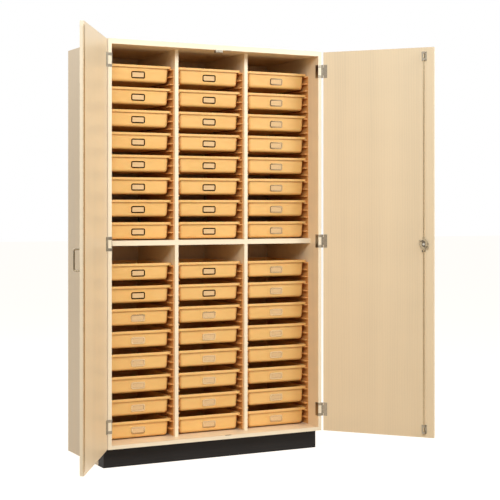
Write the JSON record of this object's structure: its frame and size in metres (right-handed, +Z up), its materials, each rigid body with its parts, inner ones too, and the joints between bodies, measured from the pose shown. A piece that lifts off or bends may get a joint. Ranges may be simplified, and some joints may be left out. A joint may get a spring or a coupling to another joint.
{
  "type": "tote storage cabinet",
  "caption": "Tall two-door storage cabinet on a recessed plinth, with columns of pull-out trays above and below a middle shelf and a rod lock on the right door.",
  "frame": {"origin": "on the floor under the middle of the case's width and of its depth without the doors, at the bottom of the plinth's middle rail", "axes": "+X to the cabinet's right as seen from the front, +Y to the back, +Z up"},
  "size_m": [1.9893, 1.1338, 2.1336],
  "materials": {
    "maple_laminate": "satin",
    "black_laminate": "matt",
    "tray_plastic": "satin",
    "runner_plastic": "satin",
    "dull_nickel_steel": "satin",
    "lock_steel": "satin"
  },
  "bodies": {
    "case": {"case_panels": "maple_laminate", "partitions": "maple_laminate", "plinth": "black_laminate", "tray_runners": "runner_plastic", "case_hardware": "dull_nickel_steel"},
    "left_door": {"left_door": "maple_laminate", "left_door_hardware": "dull_nickel_steel"},
    "right_door": {"right_door": "maple_laminate", "right_door_hardware": "dull_nickel_steel"},
    "lock_cam": {"lock_cam": "lock_steel"},
    "upper_lock_rod": {"upper_lock_rod": "lock_steel"},
    "lower_lock_rod": {"lower_lock_rod": "lock_steel"},
    "lower_left_tray_1": {"lower_left_tray_1": "tray_plastic"},
    "lower_left_tray_2": {"lower_left_tray_2": "tray_plastic"},
    "lower_left_tray_3": {"lower_left_tray_3": "tray_plastic"},
    "lower_left_tray_4": {"lower_left_tray_4": "tray_plastic"},
    "lower_left_tray_5": {"lower_left_tray_5": "tray_plastic"},
    "lower_left_tray_6": {"lower_left_tray_6": "tray_plastic"},
    "lower_left_tray_7": {"lower_left_tray_7": "tray_plastic"},
    "lower_left_tray_8": {"lower_left_tray_8": "tray_plastic"},
    "lower_centre_tray_1": {"lower_centre_tray_1": "tray_plastic"},
    "lower_centre_tray_2": {"lower_centre_tray_2": "tray_plastic"},
    "lower_centre_tray_3": {"lower_centre_tray_3": "tray_plastic"},
    "lower_centre_tray_4": {"lower_centre_tray_4": "tray_plastic"},
    "lower_centre_tray_5": {"lower_centre_tray_5": "tray_plastic"},
    "lower_centre_tray_6": {"lower_centre_tray_6": "tray_plastic"},
    "lower_centre_tray_7": {"lower_centre_tray_7": "tray_plastic"},
    "lower_centre_tray_8": {"lower_centre_tray_8": "tray_plastic"},
    "lower_right_tray_1": {"lower_right_tray_1": "tray_plastic"},
    "lower_right_tray_2": {"lower_right_tray_2": "tray_plastic"},
    "lower_right_tray_3": {"lower_right_tray_3": "tray_plastic"},
    "lower_right_tray_4": {"lower_right_tray_4": "tray_plastic"},
    "lower_right_tray_5": {"lower_right_tray_5": "tray_plastic"},
    "lower_right_tray_6": {"lower_right_tray_6": "tray_plastic"},
    "lower_right_tray_7": {"lower_right_tray_7": "tray_plastic"},
    "lower_right_tray_8": {"lower_right_tray_8": "tray_plastic"},
    "upper_left_tray_1": {"upper_left_tray_1": "tray_plastic"},
    "upper_left_tray_2": {"upper_left_tray_2": "tray_plastic"},
    "upper_left_tray_3": {"upper_left_tray_3": "tray_plastic"},
    "upper_left_tray_4": {"upper_left_tray_4": "tray_plastic"},
    "upper_left_tray_5": {"upper_left_tray_5": "tray_plastic"},
    "upper_left_tray_6": {"upper_left_tray_6": "tray_plastic"},
    "upper_left_tray_7": {"upper_left_tray_7": "tray_plastic"},
    "upper_left_tray_8": {"upper_left_tray_8": "tray_plastic"},
    "upper_centre_tray_1": {"upper_centre_tray_1": "tray_plastic"},
    "upper_centre_tray_2": {"upper_centre_tray_2": "tray_plastic"},
    "upper_centre_tray_3": {"upper_centre_tray_3": "tray_plastic"},
    "upper_centre_tray_4": {"upper_centre_tray_4": "tray_plastic"},
    "upper_centre_tray_5": {"upper_centre_tray_5": "tray_plastic"},
    "upper_centre_tray_6": {"upper_centre_tray_6": "tray_plastic"},
    "upper_centre_tray_7": {"upper_centre_tray_7": "tray_plastic"},
    "upper_centre_tray_8": {"upper_centre_tray_8": "tray_plastic"},
    "upper_right_tray_1": {"upper_right_tray_1": "tray_plastic"},
    "upper_right_tray_2": {"upper_right_tray_2": "tray_plastic"},
    "upper_right_tray_3": {"upper_right_tray_3": "tray_plastic"},
    "upper_right_tray_4": {"upper_right_tray_4": "tray_plastic"},
    "upper_right_tray_5": {"upper_right_tray_5": "tray_plastic"},
    "upper_right_tray_6": {"upper_right_tray_6": "tray_plastic"},
    "upper_right_tray_7": {"upper_right_tray_7": "tray_plastic"},
    "upper_right_tray_8": {"upper_right_tray_8": "tray_plastic"}
  },
  "joints": [
    {"name": "left_door_hinge", "type": "hinge", "parent": "case", "child": "left_door", "pos_m": [-0.6146, -0.29697, 1.1], "axis": [0, 0, -1], "range_deg": [-120.6, 59.4]},
    {"name": "right_door_hinge", "type": "hinge", "parent": "case", "child": "right_door", "pos_m": [0.6146, -0.29697, 1.1], "axis": [0, 0, 1], "range_deg": [-129.6, 50.4]},
    {"name": "lock_turn", "type": "hinge", "parent": "right_door", "child": "lock_cam", "pos_m": [0.97395, -0.72869, 1.107], "axis": [-0.7705, -0.6374, 0], "range_deg": [0, 90]},
    {"name": "upper_rod_slide", "type": "slide", "parent": "right_door", "child": "upper_lock_rod", "axis": [0, 0, 1], "range_m": [0, 0.02828]},
    {"name": "lower_rod_slide", "type": "slide", "parent": "right_door", "child": "lower_lock_rod", "axis": [0, 0, -1], "range_m": [0, 0.02828]},
    {"name": "lower_left_tray_1_slide", "type": "slide", "parent": "case", "child": "lower_left_tray_1", "axis": [0, -1, 0], "range_m": [0, 0.36]},
    {"name": "lower_left_tray_2_slide", "type": "slide", "parent": "case", "child": "lower_left_tray_2", "axis": [0, -1, 0], "range_m": [0, 0.36]},
    {"name": "lower_left_tray_3_slide", "type": "slide", "parent": "case", "child": "lower_left_tray_3", "axis": [0, -1, 0], "range_m": [0, 0.36]},
    {"name": "lower_left_tray_4_slide", "type": "slide", "parent": "case", "child": "lower_left_tray_4", "axis": [0, -1, 0], "range_m": [0, 0.36]},
    {"name": "lower_left_tray_5_slide", "type": "slide", "parent": "case", "child": "lower_left_tray_5", "axis": [0, -1, 0], "range_m": [0, 0.36]},
    {"name": "lower_left_tray_6_slide", "type": "slide", "parent": "case", "child": "lower_left_tray_6", "axis": [0, -1, 0], "range_m": [0, 0.36]},
    {"name": "lower_left_tray_7_slide", "type": "slide", "parent": "case", "child": "lower_left_tray_7", "axis": [0, -1, 0], "range_m": [0, 0.36]},
    {"name": "lower_left_tray_8_slide", "type": "slide", "parent": "case", "child": "lower_left_tray_8", "axis": [0, -1, 0], "range_m": [0, 0.36]},
    {"name": "lower_centre_tray_1_slide", "type": "slide", "parent": "case", "child": "lower_centre_tray_1", "axis": [0, -1, 0], "range_m": [0, 0.36]},
    {"name": "lower_centre_tray_2_slide", "type": "slide", "parent": "case", "child": "lower_centre_tray_2", "axis": [0, -1, 0], "range_m": [0, 0.36]},
    {"name": "lower_centre_tray_3_slide", "type": "slide", "parent": "case", "child": "lower_centre_tray_3", "axis": [0, -1, 0], "range_m": [0, 0.36]},
    {"name": "lower_centre_tray_4_slide", "type": "slide", "parent": "case", "child": "lower_centre_tray_4", "axis": [0, -1, 0], "range_m": [0, 0.36]},
    {"name": "lower_centre_tray_5_slide", "type": "slide", "parent": "case", "child": "lower_centre_tray_5", "axis": [0, -1, 0], "range_m": [0, 0.36]},
    {"name": "lower_centre_tray_6_slide", "type": "slide", "parent": "case", "child": "lower_centre_tray_6", "axis": [0, -1, 0], "range_m": [0, 0.36]},
    {"name": "lower_centre_tray_7_slide", "type": "slide", "parent": "case", "child": "lower_centre_tray_7", "axis": [0, -1, 0], "range_m": [0, 0.36]},
    {"name": "lower_centre_tray_8_slide", "type": "slide", "parent": "case", "child": "lower_centre_tray_8", "axis": [0, -1, 0], "range_m": [0, 0.36]},
    {"name": "lower_right_tray_1_slide", "type": "slide", "parent": "case", "child": "lower_right_tray_1", "axis": [0, -1, 0], "range_m": [0, 0.36]},
    {"name": "lower_right_tray_2_slide", "type": "slide", "parent": "case", "child": "lower_right_tray_2", "axis": [0, -1, 0], "range_m": [0, 0.36]},
    {"name": "lower_right_tray_3_slide", "type": "slide", "parent": "case", "child": "lower_right_tray_3", "axis": [0, -1, 0], "range_m": [0, 0.36]},
    {"name": "lower_right_tray_4_slide", "type": "slide", "parent": "case", "child": "lower_right_tray_4", "axis": [0, -1, 0], "range_m": [0, 0.36]},
    {"name": "lower_right_tray_5_slide", "type": "slide", "parent": "case", "child": "lower_right_tray_5", "axis": [0, -1, 0], "range_m": [0, 0.36]},
    {"name": "lower_right_tray_6_slide", "type": "slide", "parent": "case", "child": "lower_right_tray_6", "axis": [0, -1, 0], "range_m": [0, 0.36]},
    {"name": "lower_right_tray_7_slide", "type": "slide", "parent": "case", "child": "lower_right_tray_7", "axis": [0, -1, 0], "range_m": [0, 0.36]},
    {"name": "lower_right_tray_8_slide", "type": "slide", "parent": "case", "child": "lower_right_tray_8", "axis": [0, -1, 0], "range_m": [0, 0.36]},
    {"name": "upper_left_tray_1_slide", "type": "slide", "parent": "case", "child": "upper_left_tray_1", "axis": [0, -1, 0], "range_m": [0, 0.36]},
    {"name": "upper_left_tray_2_slide", "type": "slide", "parent": "case", "child": "upper_left_tray_2", "axis": [0, -1, 0], "range_m": [0, 0.36]},
    {"name": "upper_left_tray_3_slide", "type": "slide", "parent": "case", "child": "upper_left_tray_3", "axis": [0, -1, 0], "range_m": [0, 0.36]},
    {"name": "upper_left_tray_4_slide", "type": "slide", "parent": "case", "child": "upper_left_tray_4", "axis": [0, -1, 0], "range_m": [0, 0.36]},
    {"name": "upper_left_tray_5_slide", "type": "slide", "parent": "case", "child": "upper_left_tray_5", "axis": [0, -1, 0], "range_m": [0, 0.36]},
    {"name": "upper_left_tray_6_slide", "type": "slide", "parent": "case", "child": "upper_left_tray_6", "axis": [0, -1, 0], "range_m": [0, 0.36]},
    {"name": "upper_left_tray_7_slide", "type": "slide", "parent": "case", "child": "upper_left_tray_7", "axis": [0, -1, 0], "range_m": [0, 0.36]},
    {"name": "upper_left_tray_8_slide", "type": "slide", "parent": "case", "child": "upper_left_tray_8", "axis": [0, -1, 0], "range_m": [0, 0.36]},
    {"name": "upper_centre_tray_1_slide", "type": "slide", "parent": "case", "child": "upper_centre_tray_1", "axis": [0, -1, 0], "range_m": [0, 0.36]},
    {"name": "upper_centre_tray_2_slide", "type": "slide", "parent": "case", "child": "upper_centre_tray_2", "axis": [0, -1, 0], "range_m": [0, 0.36]},
    {"name": "upper_centre_tray_3_slide", "type": "slide", "parent": "case", "child": "upper_centre_tray_3", "axis": [0, -1, 0], "range_m": [0, 0.36]},
    {"name": "upper_centre_tray_4_slide", "type": "slide", "parent": "case", "child": "upper_centre_tray_4", "axis": [0, -1, 0], "range_m": [0, 0.36]},
    {"name": "upper_centre_tray_5_slide", "type": "slide", "parent": "case", "child": "upper_centre_tray_5", "axis": [0, -1, 0], "range_m": [0, 0.36]},
    {"name": "upper_centre_tray_6_slide", "type": "slide", "parent": "case", "child": "upper_centre_tray_6", "axis": [0, -1, 0], "range_m": [0, 0.36]},
    {"name": "upper_centre_tray_7_slide", "type": "slide", "parent": "case", "child": "upper_centre_tray_7", "axis": [0, -1, 0], "range_m": [0, 0.36]},
    {"name": "upper_centre_tray_8_slide", "type": "slide", "parent": "case", "child": "upper_centre_tray_8", "axis": [0, -1, 0], "range_m": [0, 0.36]},
    {"name": "upper_right_tray_1_slide", "type": "slide", "parent": "case", "child": "upper_right_tray_1", "axis": [0, -1, 0], "range_m": [0, 0.36]},
    {"name": "upper_right_tray_2_slide", "type": "slide", "parent": "case", "child": "upper_right_tray_2", "axis": [0, -1, 0], "range_m": [0, 0.36]},
    {"name": "upper_right_tray_3_slide", "type": "slide", "parent": "case", "child": "upper_right_tray_3", "axis": [0, -1, 0], "range_m": [0, 0.36]},
    {"name": "upper_right_tray_4_slide", "type": "slide", "parent": "case", "child": "upper_right_tray_4", "axis": [0, -1, 0], "range_m": [0, 0.36]},
    {"name": "upper_right_tray_5_slide", "type": "slide", "parent": "case", "child": "upper_right_tray_5", "axis": [0, -1, 0], "range_m": [0, 0.36]},
    {"name": "upper_right_tray_6_slide", "type": "slide", "parent": "case", "child": "upper_right_tray_6", "axis": [0, -1, 0], "range_m": [0, 0.36]},
    {"name": "upper_right_tray_7_slide", "type": "slide", "parent": "case", "child": "upper_right_tray_7", "axis": [0, -1, 0], "range_m": [0, 0.36]},
    {"name": "upper_right_tray_8_slide", "type": "slide", "parent": "case", "child": "upper_right_tray_8", "axis": [0, -1, 0], "range_m": [0, 0.36]}
  ],
  "couplings": [
    {"joint": "lock_turn", "follows": "upper_rod_slide", "rad_per_m": 55.54},
    {"joint": "lower_rod_slide", "follows": "upper_rod_slide", "ratio": 1}
  ]
}
